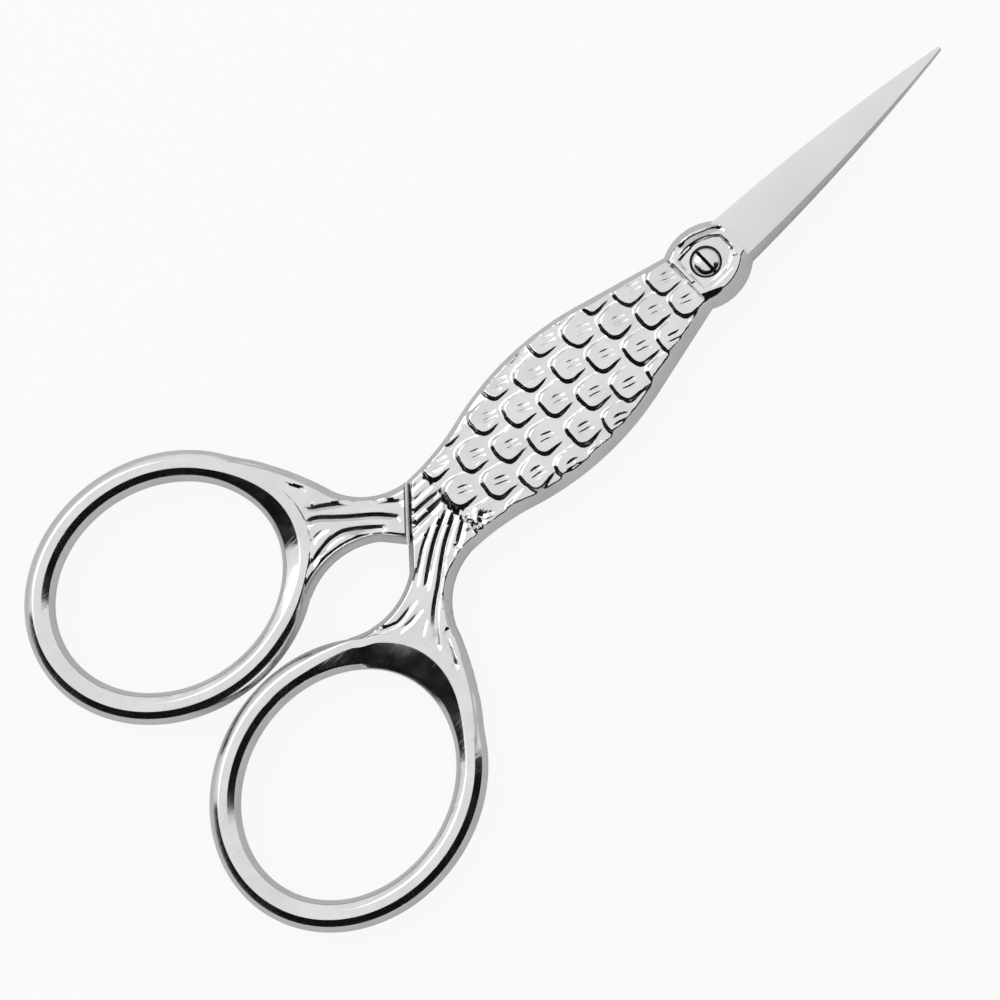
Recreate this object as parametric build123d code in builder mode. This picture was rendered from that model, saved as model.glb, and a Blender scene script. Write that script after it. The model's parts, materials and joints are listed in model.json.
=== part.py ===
import os
from math import cos, hypot, radians, sin
from build123d import *

# A pair of fine embroidery scissors: two equal forgings, each a blade, a scaled fish body, a ribbed shank
# and a finger ring in one piece, laid face to face and held by one slotted screw. Lengths are millimetres.
# The forging is drawn as it lies in the half on top: the screw's axis is Z, the blade points along +X,
# its ring is at -Y, and Z = 0 is the plane where the halves meet. The other half is the same forging
# turned over about X. The finished part stands with its origin under its middle, on its lowest point.

# Blade
blade_length = 29.7
blade_root_half_width = 2.9
blade_middle_share = 0.45  # along the blade, where it has its middle width
blade_middle_width_share = 0.72
blade_tip_half_width = 0.16
blade_root_thickness = 1.45
blade_tip_thickness = 0.5
spine_top_share = 0.95  # of each side's width, left at the height of the root's outer face
edge_top_share = 0.83

# Pivot panel, between the blade's shoulder and the first scales
shoulder_x = 3.75
shoulder_step = 0.1  # on each side, from the blade's root out to the shoulder's corner
panel_back_length = 2.8  # from the screw's axis to the notch behind the panel
panel_half_width = 4.45
panel_notch_half_width = 3.8
panel_height = 2.35
panel_recess_depth = 0.35
panel_rim = 0.6  # wall between the recess and the blade's shoulder
recess_front_half_width = 1.0
recess_half_width = 2.35
recess_back_half_width = 2.1
crossbar_gap = 0.1  # from the notch to the crossbar
crossbar_width = 0.5
crossbar_length = 4.6
crossbar_rise = 0.22
arc_groove_width = 0.35
arc_groove_depth = 0.4
arc_groove_offset = 0.7  # from the recess to the groove

# Fish body
body_length = 35.9  # from the notch to the tail's corners
body_half_width = 7.5
flank_straight_share = 0.27  # straight part of the flank behind the notch, of the body's length
flank_straight_width_share = 0.84
widest_share = 0.52
tail_bend_share = 0.785  # where the flank turns hollow towards the tail
tail_bend_width_share = 0.815
tail_waist_share = 0.89
tail_waist_width_share = 0.716
tail_half_width = 5.15
tail_end_length = 4.4  # the slanting end runs this far past the tail's corner, at the middle line
tail_rays_length = 1.9  # flat part of the tail in front of its corners
flank_draft = 24.0  # degrees
flank_draft_reach = 2.0  # the outline runs this far past the shoulder, whose own face stands upright
crown_height = 2.4
crown_front_height = 2.0
crown_back_height = 1.95
crown_radius = 38.0  # across the body

# Scales, in columns that alternate off and on the middle line
scale_first_gap = 1.55  # from the notch to the first column
scale_column_pitch = 3.42
scale_row_pitch = 4.0
nose_pitch_share = 0.84  # the first column's rows are this much closer
full_pitch_column = 4
scale_radius = 2.08
scale_root_length = 3.0
scale_tilt = 6.5  # degrees, free end up
scale_rise = 0.14
scale_depth = 0.8

# Finger ring: an oval of one section, its hole an ellipse
hole_half_length = 12.64
hole_half_width = 10.75
ring_width = 3.5
ring_height = 3.5
ring_crown_width = 1.15
ring_crown_fillet = 0.4
ring_side_fillet = 0.35
ring_tilt = 12.6  # degrees, its long axis leans to the middle line at the front
ring_gap = 0.055  # from the ring to the middle line
shank_length = 10.05  # from the tail's corners back to the ring, along X

# Tail and shank, of one height; the shank's points are shares of a way to the ring's centre, in X and Y
shank_step = 0.05  # the shank's faces lie this far below the ring's crown
hollow_share = (0.149, 0.157)  # outer side, from the tail's corner
knee_share = (0.249, 0.514)
flare_share = (0.333, 1.086)
web_front_share = (0.092, 0.163)  # inner side, from the tail's point
web_middle_share = (0.276, 0.274)
web_back_share = (0.484, 0.177)
outer_join_angle = -57.0  # degrees round the ring, where the outer side runs into it
inner_join_angle = 67.0
join_inset = 0.45  # both sides run this far into the ring

# Ribs: grooves along the tail, fanning out along the shank, and two on the shank's lower face
groove_width = 0.34
groove_depth = 0.3
tail_groove_count = 4
tail_groove_pitch = 1.1
tail_groove_start = 0.5  # from the middle line
fan_groove_count = 4
fan_start_pitch = 0.95
fan_waist_pitch = 1.0
fan_end_pitch = 1.25
fan_waist_share = (0.126, 0.16)  # from the middle of the tail
fan_end_share = (0.28, 0.36)
under_groove_count = 2
under_groove_pitch = 1.2
under_start_share = (0.077, 0.257)
under_end_share = (0.28, 0.59)

# Fits
face_gap = 0.02  # each half stays this far from the plane where they meet
tail_gap = 0.15  # between a tail's slanting end and the other half's shank, along X
screw_radius = 1.0
running_gap = 0.03  # round the screw in the half on top
thread_gap = 0.01  # round it in the tapped half
head_radius = 1.6
head_height = 0.95
head_dome = 0.3
head_gap = 0.13
head_seat_depth = 0.45  # below the recess's floor
head_seat_gap = 0.02
slot_width = 0.42
slot_depth = 0.4
screw_end_rise = 0.12  # past the lower recess's floor
screw_end_chamfer = 0.12
overrun = 0.8  # how far a cut runs past what it cuts

# Places that follow from the sizes
notch_x = -panel_back_length
shoulder_half_width = blade_root_half_width + shoulder_step
outline_front_x = shoulder_x + flank_draft_reach
blade_start_x = shoulder_x - panel_rim
blade_tip_x = shoulder_x + blade_length
tail_corner_x = notch_x - body_length
tail_point_x = tail_corner_x - tail_end_length
widest_x = notch_x - widest_share * body_length
crown_back_x = tail_corner_x + tail_rays_length
scale_first_x = notch_x - scale_first_gap
scale_columns = 1 + int((scale_first_x - crown_back_x) / scale_column_pitch)
recess_floor = panel_height - panel_recess_depth
head_seat = recess_floor - head_seat_depth
half_ring = ring_width / 2
ring_half_length = hole_half_length + ring_width
ring_half_width = hole_half_width + ring_width
ring_reach_x = hypot(ring_half_length * cos(radians(ring_tilt)), ring_half_width * sin(radians(ring_tilt)))
ring_reach_y = hypot(ring_half_length * sin(radians(ring_tilt)), ring_half_width * cos(radians(ring_tilt)))
ring_setback = shank_length + ring_reach_x - tail_corner_x
ring_offset = ring_reach_y + ring_gap
shank_height = ring_height / 2 - shank_step
ring_centre = Vector(-ring_setback, -ring_offset)
tail_middle = Vector(tail_corner_x, 0)
tail_point = Vector(tail_point_x, 0)
tail_corner = Vector(tail_corner_x, -tail_half_width)


def ring_point(angle, outward):
    """A point at an angle round the ring, outward from its hole's edge."""
    along = (hole_half_length + outward) * cos(radians(angle))
    across = (hole_half_width + outward) * sin(radians(angle))
    return ring_centre + Vector(along, across).rotate(Axis.Z, ring_tilt)


def towards_ring(start, share):
    """A point some shares of the way, in X and in Y, from a start to the ring's centre."""
    way = ring_centre - start
    return start + Vector(share[0] * way.X, share[1] * way.Y)


def shank_sides():
    """Both sides of the shank's outline, joined inside the ring's band along the ring's middle line."""
    outer_join = ring_point(outer_join_angle, ring_width - join_inset)
    inner_join = ring_point(inner_join_angle, ring_width - join_inset)
    knee = towards_ring(tail_corner, knee_share)
    ThreePointArc(tail_corner, towards_ring(tail_corner, hollow_share), knee)
    ThreePointArc(knee, towards_ring(tail_corner, flare_share), outer_join)
    Line(outer_join, ring_point(outer_join_angle, half_ring))
    ThreePointArc(
        ring_point(outer_join_angle, half_ring),
        ring_point(0, half_ring),
        ring_point(inner_join_angle, half_ring),
    )
    Line(ring_point(inner_join_angle, half_ring), inner_join)
    web_front = towards_ring(tail_point, web_front_share)
    web_back = towards_ring(tail_point, web_back_share)
    Line(inner_join, web_back)
    ThreePointArc(web_back, towards_ring(tail_point, web_middle_share), web_front)
    Line(web_front, tail_point)


def blade_outline(spine_share, edge_share):
    """The blade's plan outline, its spine and its cutting side at shares of the full half width."""
    middle_half_width = blade_middle_width_share * blade_root_half_width
    for side in (spine_share, -edge_share):
        ThreePointArc(
            (blade_start_x, side * blade_root_half_width),
            (shoulder_x + blade_middle_share * blade_length, side * middle_half_width),
            (blade_tip_x, side * blade_tip_half_width),
        )
    for x, half_width in ((blade_start_x, blade_root_half_width), (blade_tip_x, blade_tip_half_width)):
        Line((x, spine_share * half_width), (x, -edge_share * half_width))


def flank(side):
    """One side of the plan outline, from in front of the shoulder to the tail's corner, side is 1 or -1."""
    half_width = side * body_half_width
    notch = (notch_x, side * panel_notch_half_width)
    straight_end = (
        notch_x - flank_straight_share * body_length,
        flank_straight_width_share * half_width,
    )
    bend = (notch_x - tail_bend_share * body_length, tail_bend_width_share * half_width)
    waist = (notch_x - tail_waist_share * body_length, tail_waist_width_share * half_width)
    shoulder = (shoulder_x, side * shoulder_half_width)
    Line((outline_front_x, side * shoulder_half_width), shoulder)
    ThreePointArc(shoulder, (0, side * panel_half_width), notch)
    Line(notch, straight_end)
    ThreePointArc(straight_end, (widest_x, half_width), bend)
    ThreePointArc(bend, waist, (tail_corner_x, side * tail_half_width))


# Crown: a barrel whose height over the meeting plane swells towards the middle of the fish
with BuildPart() as crown:
    barrel_axis_z = crown_height - crown_radius
    crown_front = (notch_x + overrun, crown_front_height)
    crown_back = (crown_back_x, crown_back_height)
    with BuildSketch(Plane.XZ):
        with BuildLine():
            ThreePointArc(crown_back, (widest_x, crown_height), crown_front)
            Polyline(crown_front, (crown_front[0], barrel_axis_z), (crown_back[0], barrel_axis_z), crown_back)
        make_face()
    revolve(axis=Axis((0, 0, barrel_axis_z), (1, 0, 0)))


def scale_planes():
    """A tilted work plane on the crown for each scale, its X towards the tail."""
    planes = []
    for column in range(scale_columns):
        x = scale_first_x - column * scale_column_pitch
        spread = min(1, nose_pitch_share + (1 - nose_pitch_share) * column / full_pitch_column)
        rows = (-1.5, -0.5, 0.5, 1.5) if column % 2 == 0 else (-1, 0, 1)
        for row in rows:
            upright = Axis((x, row * spread * scale_row_pitch, 0), (0, 0, 1))
            hits = crown.part.find_intersection_points(upright)
            point, normal = max(hits, key=lambda hit: hit[0].Z)
            if normal.Z < 0:
                normal = -normal
            surface = Plane(origin=point, x_dir=(-1, 0, 0), z_dir=normal)
            planes.append(surface.offset(scale_rise).rotated((0, scale_tilt, 0)))
    return planes


# Plan outline of everything but the blade and the ring
with BuildSketch() as plan_outline:
    with BuildLine():
        flank(1)
        flank(-1)
        Line((outline_front_x, shoulder_half_width), (outline_front_x, -shoulder_half_width))
        Line((tail_corner_x, tail_half_width), tail_point)
        shank_sides()
    make_face()

# Its walls, drafted both ways from the meeting plane
with BuildPart() as drafted_blank:
    extrude(plan_outline.sketch, amount=crown_height + overrun, taper=flank_draft)
    mirror(about=Plane.XY)

# Relief: crown, scales, pivot panel and the flat tail and shank, trimmed to those walls
with BuildPart() as relief:
    add(crown.part)
    with BuildSketch(*scale_planes()):
        Circle(scale_radius)
        with Locations((-scale_root_length / 2, 0)):
            Rectangle(scale_root_length, 2 * scale_radius)
    extrude(amount=-scale_depth)
    with BuildSketch(Plane.XY):
        with Locations(((crown_back_x - ring_setback) / 2, -ring_offset / 2)):
            Rectangle(ring_setback + crown_back_x, ring_offset + 4 * body_half_width)
    extrude(amount=shank_height, both=True)
    with BuildSketch(Plane.XY):
        with Locations(((shoulder_x + notch_x) / 2, 0)):
            Rectangle(shoulder_x - notch_x, 2 * body_half_width)
    extrude(amount=panel_height)
    with BuildSketch(Plane.XY):
        with Locations((notch_x + crossbar_gap + crossbar_width / 2, 0)):
            Rectangle(crossbar_width, crossbar_length)
    extrude(amount=panel_height + crossbar_rise)
    add(drafted_blank.part, mode=Mode.INTERSECT)

# Panel's sunk field round the screw, and the curved groove outside it on the ring's far side
with BuildPart() as panel_cut:
    recess_back_x = notch_x + crossbar_gap + crossbar_width
    recess_front_x = shoulder_x - panel_rim
    with BuildSketch(Plane.XY.offset(recess_floor)):
        with BuildLine():
            for side in (1, -1):
                ThreePointArc(
                    (recess_back_x, side * recess_back_half_width),
                    (0, side * recess_half_width),
                    (recess_front_x, side * recess_front_half_width),
                )
            Line((recess_back_x, -recess_back_half_width), (recess_back_x, recess_back_half_width))
            Line((recess_front_x, -recess_front_half_width), (recess_front_x, recess_front_half_width))
        make_face()
    extrude(amount=panel_recess_depth + overrun)
    with BuildSketch(Plane.XY.offset(panel_height - arc_groove_depth)):
        for side in (1, -1):
            with BuildLine():
                ThreePointArc(
                    (notch_x / 2, side * (recess_half_width + arc_groove_offset)),
                    (0, side * (recess_half_width + arc_groove_offset)),
                    (recess_front_x, side * (recess_front_half_width + arc_groove_offset)),
                )
            trace(line_width=arc_groove_width)
    extrude(amount=arc_groove_depth + overrun)

# Blade: a flat inner face, a cutting side that leans in, and a thickness that falls to the tip
with BuildPart() as blade:
    for level, spine_share, edge_share in (
        (face_gap, 1, 1),
        (blade_root_thickness, spine_top_share, edge_top_share),
    ):
        with BuildSketch(Plane.XY.offset(level)):
            with BuildLine():
                blade_outline(spine_share, edge_share)
            make_face()
    loft(ruled=True)
    with BuildSketch(Plane.XZ):
        Polygon(
            (blade_start_x - overrun, blade_root_thickness),
            (blade_start_x, blade_root_thickness),
            (blade_tip_x, blade_tip_thickness),
            (blade_tip_x + overrun, blade_tip_thickness),
            (blade_tip_x + overrun, blade_root_thickness + overrun),
            (blade_start_x - overrun, blade_root_thickness + overrun),
            align=None,
        )
    extrude(amount=blade_root_half_width + overrun, both=True, mode=Mode.SUBTRACT)

# Finger ring: a section with a narrow rounded crown above and below, widest in the middle, swept round
# from the ring's far end, so that its seam stays away from the shank
with BuildPart() as finger_ring:
    ring_line_length = hole_half_length + half_ring
    ring_line_width = hole_half_width + half_ring
    ring_plane = Plane(origin=ring_centre, x_dir=Vector(1, 0, 0).rotate(Axis.Z, ring_tilt), z_dir=(0, 0, 1))
    with BuildLine(ring_plane):
        EllipticalCenterArc((0, 0), ring_line_length, ring_line_width, 180, arc_size=360)
    section_plane = Plane(
        origin=ring_plane.from_local_coords((-ring_line_length, 0, 0)),
        x_dir=ring_plane.x_dir,
        z_dir=-ring_plane.y_dir,
    )
    with BuildSketch(section_plane) as ring_section:
        Polygon(
            (half_ring, 0),
            (ring_crown_width / 2, ring_height / 2),
            (-ring_crown_width / 2, ring_height / 2),
            (-half_ring, 0),
            (-ring_crown_width / 2, -ring_height / 2),
            (ring_crown_width / 2, -ring_height / 2),
            align=None,
        )
        corners = ring_section.vertices()
        fillet(corners.filter_by_position(Axis.Y, 0, 0), ring_side_fillet)
        crowns = ring_section.vertices().group_by(Axis.Y)
        fillet(crowns[0] + crowns[-1], ring_crown_fillet)
    sweep()

# Room for the other half: all in front of its tail's slanting end, up to the meeting plane
with BuildPart() as meeting_cut:
    cut_width = 4 * body_half_width
    end_slope = tail_end_length / tail_half_width
    with BuildSketch(Plane.XY.offset(face_gap)):
        Polygon(
            (tail_point_x - tail_gap - end_slope * cut_width, cut_width),
            (tail_point_x - tail_gap, 0),
            (tail_point_x - tail_gap + end_slope * cut_width, -cut_width),
            (shoulder_x + overrun, -cut_width),
            (shoulder_x + overrun, cut_width),
            align=None,
        )
    extrude(amount=-crown_height - 2 * overrun)

# Ribs
with BuildPart() as rib_cut:
    with BuildSketch(Plane.XY.offset(shank_height - groove_depth)):
        with BuildLine():
            for index in range(tail_groove_count):
                y = tail_groove_start + index * tail_groove_pitch
                Line((crown_back_x - groove_width, y), (tail_point_x, y))
        trace(line_width=groove_width)
        for index in range(fan_groove_count):
            with BuildLine():
                start = Vector(crown_back_x - groove_width, -tail_groove_start - index * fan_start_pitch)
                waist = towards_ring(tail_middle, fan_waist_share) - Vector(0, index * fan_waist_pitch)
                end = towards_ring(tail_middle, fan_end_share) - Vector(0, index * fan_end_pitch)
                ThreePointArc(start, waist, end)
            trace(line_width=groove_width)
    extrude(amount=groove_depth + overrun)
    with BuildSketch(Plane.XY.offset(groove_depth - shank_height)):
        with BuildLine():
            for index in range(under_groove_count):
                aside = Vector(-index * under_groove_pitch, index * under_groove_pitch)
                start = towards_ring(tail_middle, under_start_share) + aside
                end = towards_ring(tail_middle, under_end_share) + aside
                Line(start, end)
        trace(line_width=groove_width)
    extrude(amount=-groove_depth - overrun)

# The forging that both halves are made from
with BuildPart() as forging:
    add(relief.part)
    add(finger_ring.part)
    add(meeting_cut.part, mode=Mode.SUBTRACT)
    add(panel_cut.part, mode=Mode.SUBTRACT)
    add(rib_cut.part, mode=Mode.SUBTRACT)
    add(blade.part)

# Where the finished part stands: its middle over the origin, its lowest scale at the height of zero
forging_box = forging.part.bounding_box()
stand = Plane(origin=(-forging_box.center().X, 0, forging_box.max.Z))
stand_turned = Plane(origin=stand.origin, x_dir=(1, 0, 0), z_dir=(0, 0, -1))
stand_upright = Plane(origin=stand.origin, x_dir=(1, 0, 0), z_dir=(0, -1, 0))

# Half on top: runs round the screw, which sits in its counterbore
with BuildPart() as front_half:
    with Locations(stand):
        add(forging.part)
    with BuildSketch(stand):
        Circle(screw_radius + running_gap)
    extrude(amount=panel_height + overrun, mode=Mode.SUBTRACT)
    with BuildSketch(stand.offset(head_seat)):
        Circle(head_radius + head_gap)
    extrude(amount=panel_height, mode=Mode.SUBTRACT)
front_half.part.label = "front_half"

# Half underneath: the same forging turned over, tapped for the screw
with BuildPart() as back_half:
    with Locations(stand_turned):
        add(forging.part)
    with BuildSketch(stand_turned):
        Circle(screw_radius + thread_gap)
    extrude(amount=panel_height + overrun, mode=Mode.SUBTRACT)
back_half.part.label = "back_half"

# Screw: a low domed head with a slot, its end just proud of the lower field
with BuildPart() as pivot_screw:
    head_bottom = head_seat + head_seat_gap
    head_top = head_bottom + head_height
    screw_end = -recess_floor - screw_end_rise
    with BuildSketch(stand_upright):
        with BuildLine():
            Polyline(
                (0, head_top),
                (0, screw_end),
                (screw_radius - screw_end_chamfer, screw_end),
                (screw_radius, screw_end + screw_end_chamfer),
                (screw_radius, head_bottom),
                (head_radius, head_bottom),
                (head_radius, head_top - head_dome),
            )
            dome_radius = (head_radius**2 + head_dome**2) / (2 * head_dome)
            RadiusArc((head_radius, head_top - head_dome), (0, head_top), -dome_radius)
        make_face()
    revolve(axis=Axis(stand.origin, (0, 0, 1)))
    with BuildSketch(stand.offset(head_top - slot_depth)):
        Rectangle(slot_width, 2 * (head_radius + overrun))
    extrude(amount=slot_depth + overrun, mode=Mode.SUBTRACT)
pivot_screw.part.label = "pivot_screw"

os.makedirs("parts", exist_ok=True)
for piece in (front_half, back_half, pivot_screw):
    export_step(piece.part, f"parts/{piece.part.label}.step")
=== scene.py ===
import json
import math

import bmesh
import bpy
import numpy as np
from mathutils import Euler, Matrix, Vector
from mathutils.geometry import delaunay_2d_cdt
from mathutils.kdtree import KDTree


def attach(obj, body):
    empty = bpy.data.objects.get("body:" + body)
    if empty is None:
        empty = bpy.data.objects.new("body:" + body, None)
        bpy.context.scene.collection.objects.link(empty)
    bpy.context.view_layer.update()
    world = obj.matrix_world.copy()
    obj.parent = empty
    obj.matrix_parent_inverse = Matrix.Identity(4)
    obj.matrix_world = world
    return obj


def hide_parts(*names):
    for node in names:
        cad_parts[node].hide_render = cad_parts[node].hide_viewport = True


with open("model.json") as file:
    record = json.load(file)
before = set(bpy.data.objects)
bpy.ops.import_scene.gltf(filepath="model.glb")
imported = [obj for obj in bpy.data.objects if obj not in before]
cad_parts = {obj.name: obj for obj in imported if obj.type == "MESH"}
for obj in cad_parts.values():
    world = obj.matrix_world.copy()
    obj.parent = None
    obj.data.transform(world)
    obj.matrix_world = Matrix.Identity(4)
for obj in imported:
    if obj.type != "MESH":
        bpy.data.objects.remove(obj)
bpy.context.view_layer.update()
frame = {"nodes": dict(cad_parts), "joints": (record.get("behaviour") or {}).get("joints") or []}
print("frame loaded:", sorted(frame["nodes"]))

# The two halves are one forging. It is modelled in millimetres, as it lies in the half on top:
# the screw's axis is Z, the blade points along +X, the ring is at -Y, the halves meet at height zero.
millimetre = 0.001
pivot = Vector(frame["joints"][0]["pos_m"])
scene = bpy.context.scene


# Small mesh and node helpers

def linkObject(name, data):
    made = bpy.data.objects.new(name, data)
    scene.collection.objects.link(made)
    return made


def meshObject(name, points, faces):
    mesh = bpy.data.meshes.new(name)
    mesh.from_pydata([tuple(p) for p in points], [], faces)
    mesh.validate()
    return linkObject(name, mesh)


def discard(*objects):
    for unwanted in objects:
        bpy.data.objects.remove(unwanted)


def coat(obj, material):
    obj.data.materials.clear()
    obj.data.materials.append(material)


def positions(obj):
    flat = np.zeros(len(obj.data.vertices) * 3, np.float32)
    obj.data.vertices.foreach_get("co", flat)
    return flat.reshape(-1, 3).astype(float)


def movePoints(obj, place):
    obj.data.vertices.foreach_set("co", place.ravel())
    obj.data.update()


def gridFaces(rows, columns):
    return [
        (r * columns + c, r * columns + c + 1, (r + 1) * columns + c + 1, (r + 1) * columns + c)
        for r in range(rows - 1) for c in range(columns - 1)
    ]


def applyModifiers(obj):
    bpy.context.view_layer.update()
    evaluated = obj.evaluated_get(bpy.context.evaluated_depsgraph_get())
    plain = bpy.data.meshes.new_from_object(evaluated)
    obj.modifiers.clear()
    obj.data = plain


def cleanMesh(obj, mergeDistance=1e-4):
    mesh = bmesh.new()
    mesh.from_mesh(obj.data)
    bmesh.ops.remove_doubles(mesh, verts=mesh.verts, dist=mergeDistance)
    bmesh.ops.dissolve_degenerate(mesh, edges=mesh.edges, dist=1e-6)
    bmesh.ops.recalc_face_normals(mesh, faces=mesh.faces)
    openEdges = sum(1 for edge in mesh.edges if len(edge.link_faces) != 2)
    mesh.to_mesh(obj.data)
    mesh.free()
    if openEdges:
        print("open edges left in", obj.name, openEdges)


def cutOrJoin(obj, other, operation):
    modifier = obj.modifiers.new(operation, "BOOLEAN")
    modifier.operation = operation
    modifier.solver = "MANIFOLD"
    modifier.object = other
    applyModifiers(obj)
    discard(other)


def shadeSmooth(obj, sharpAngle):
    obj.data.shade_smooth()
    obj.data.set_sharp_from_angle(angle=math.radians(sharpAngle))


def arcThrough(start, middle, end, step):
    (ax, ay), (bx, by), (cx, cy) = start, middle, end
    cross = 2 * (ax * (by - cy) + bx * (cy - ay) + cx * (ay - by))
    a2, b2, c2 = ax * ax + ay * ay, bx * bx + by * by, cx * cx + cy * cy
    ox = (a2 * (by - cy) + b2 * (cy - ay) + c2 * (ay - by)) / cross
    oy = (a2 * (cx - bx) + b2 * (ax - cx) + c2 * (bx - ax)) / cross
    radius = math.hypot(ax - ox, ay - oy)
    angles = [math.atan2(y - oy, x - ox) for x, y in (start, middle, end)]
    turn = (angles[2] - angles[0]) % math.tau
    if (angles[1] - angles[0]) % math.tau > turn:
        turn -= math.tau
    count = max(2, math.ceil(abs(turn) * radius / step))
    steps = [angles[0] + turn * i / count for i in range(count)]
    return [(ox + radius * math.cos(t), oy + radius * math.sin(t)) for t in steps]


def circle(radius, sides):
    turn = math.tau / sides
    return [(radius * math.cos(i * turn), radius * math.sin(i * turn)) for i in range(sides)]


def straight(start, end, step):
    count = max(1, math.ceil(math.dist(start, end) / step))
    return [tuple(np.array(start) + (np.array(end) - np.array(start)) * i / count) for i in range(count)]


def trace(step, *runs):
    # each run is a straight line between two points or an arc through three
    return [point for run in runs for point in (straight if len(run) == 2 else arcThrough)(*run, step)]


def between(start, end, share):
    return start + (end - start) * share


def bell(offset, spread):
    return np.exp(-(offset / spread) ** 2)


def leftOf(along):
    along = along / np.linalg.norm(along, axis=1)[:, None]
    return np.c_[-along[:, 1], along[:, 0]]


def smoothStep(low, high, value):
    t = np.clip((np.asarray(value, float) - low) / (high - low), 0, 1)
    return t * t * (3 - 2 * t)


def addNode(tree, kind, inputs=None, **settings):
    node = tree.nodes.new(kind)
    for name, value in settings.items():
        setattr(node, name, value)
    for name, value in (inputs or {}).items():
        if isinstance(value, bpy.types.NodeSocket):
            tree.links.new(value, node.inputs[name])
        else:
            node.inputs[name].default_value = value
    return node


def output(tree, kind, inputs=None, **settings):
    return addNode(tree, kind, inputs, **settings).outputs[0]


def calc(tree, operation, *values):
    return output(tree, "ShaderNodeMath", dict(enumerate(values)), operation=operation)


def vectorMath(tree, operation, first, second):
    key = "Scale" if operation == "SCALE" else 1
    return output(tree, "ShaderNodeVectorMath", {0: first, key: second}, operation=operation)


def combined(tree, x=0.0, y=0.0, z=0.0):
    return output(tree, "ShaderNodeCombineXYZ", {0: x, 1: y, 2: z})


def separated(tree, vector):
    return addNode(tree, "ShaderNodeSeparateXYZ", {0: vector}).outputs


def noise(tree, vector, scale, detail=2.0, roughness=0.5):
    return addNode(tree, "ShaderNodeTexNoise", {
        "Vector": vector, "Scale": scale, "Detail": detail, "Roughness": roughness}).outputs


def remapped(tree, value, low=0.0, high=1.0, toLow=0.0, toHigh=1.0):
    return output(tree, "ShaderNodeMapRange", {
        "Value": value, "From Min": low, "From Max": high, "To Min": toLow, "To Max": toHigh})


def switched(tree, test, off, on):
    values = {"Switch": test, "False": off, "True": on}
    return output(tree, "GeometryNodeSwitch", values, input_type="FLOAT")


def objectGeometry(tree, socket):
    return addNode(tree, "GeometryNodeObjectInfo", {"Object": socket}).outputs["Geometry"]


castHeight, castLength = 10.0, 30.0


def castDown(tree, target, source):
    return addNode(tree, "GeometryNodeRaycast", {
        "Target Geometry": target, "Source Position": source, "Ray Direction": (0, 0, -1),
        "Ray Length": castLength}).outputs


def lifted(tree, vector):
    return vectorMath(tree, "ADD", vector, (0, 0, castHeight))


def newMaterial(name, values):
    material = bpy.data.materials.new(name)
    material.use_nodes = True
    shader = material.node_tree.nodes["Principled BSDF"]
    for label, value in values.items():
        shader.inputs[label].default_value = value
    return material, material.node_tree, shader


def newGroup(name, kind, inputs, outputs):
    group = bpy.data.node_groups.new(name, kind)
    for way, sockets in (("INPUT", inputs), ("OUTPUT", outputs)):
        for label, content in sockets:
            group.interface.new_socket(label, in_out=way, socket_type="NodeSocket" + content)
    return group, group.nodes.new("NodeGroupInput").outputs


def newTree(name, inputs):
    skin = ("Geometry", "Geometry")
    return newGroup(name, "GeometryNodeTree", [skin, *inputs], [skin])


def endTree(tree, given, moved):
    skin = output(tree, "GeometryNodeSetPosition", {"Geometry": given["Geometry"], **moved})
    skin = output(tree, "GeometryNodeRealizeInstances", {0: skin})
    skin = output(tree, "GeometryNodeSetMaterial", {"Geometry": skin, "Material": given["Material"]})
    addNode(tree, "NodeGroupOutput", {0: skin})
    return tree


def runTree(obj, tree, values):
    modifier = obj.modifiers.new(tree.name, "NODES")
    modifier.node_group = tree
    for item in tree.interface.items_tree:
        if item.in_out == "INPUT" and item.name in values:
            modifier[item.identifier] = values[item.name]
    applyModifiers(obj)


# Camera, at the photograph's angle and distance

cameraSettings = {
    "lens": 185.735, "sensor": 36.0, "distance": 0.5427,
    "azimuth": 1.178,  # degrees, from straight over the -Y side
    "elevation": 78.21, "roll": -44.2,
    "aim": (-32.847, -3.199, 0),  # millimetres from the pivot
    "clip": (0.01, 20),
}


def makeCamera(settings):
    data = bpy.data.cameras.new("camera")
    data.lens, data.sensor_width = settings["lens"], settings["sensor"]
    camera = linkObject("camera", data)
    azimuth, elevation = math.radians(settings["azimuth"]), math.radians(settings["elevation"])
    back = Vector((
        math.sin(azimuth) * math.cos(elevation),
        -math.cos(azimuth) * math.cos(elevation),
        math.sin(elevation),
    ))
    camera.rotation_mode = "QUATERNION"
    turn = Euler((0, 0, math.radians(settings["roll"]))).to_quaternion()
    camera.rotation_quaternion = (-back).to_track_quat("-Z", "Y") @ turn
    camera.location = pivot + Vector(settings["aim"]) * millimetre + back * settings["distance"]
    data.clip_start, data.clip_end = settings["clip"]
    scene.camera = camera


makeCamera(cameraSettings)
print("camera placed")


# Forging: outline in plan, as wide as it is where the halves meet

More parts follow.
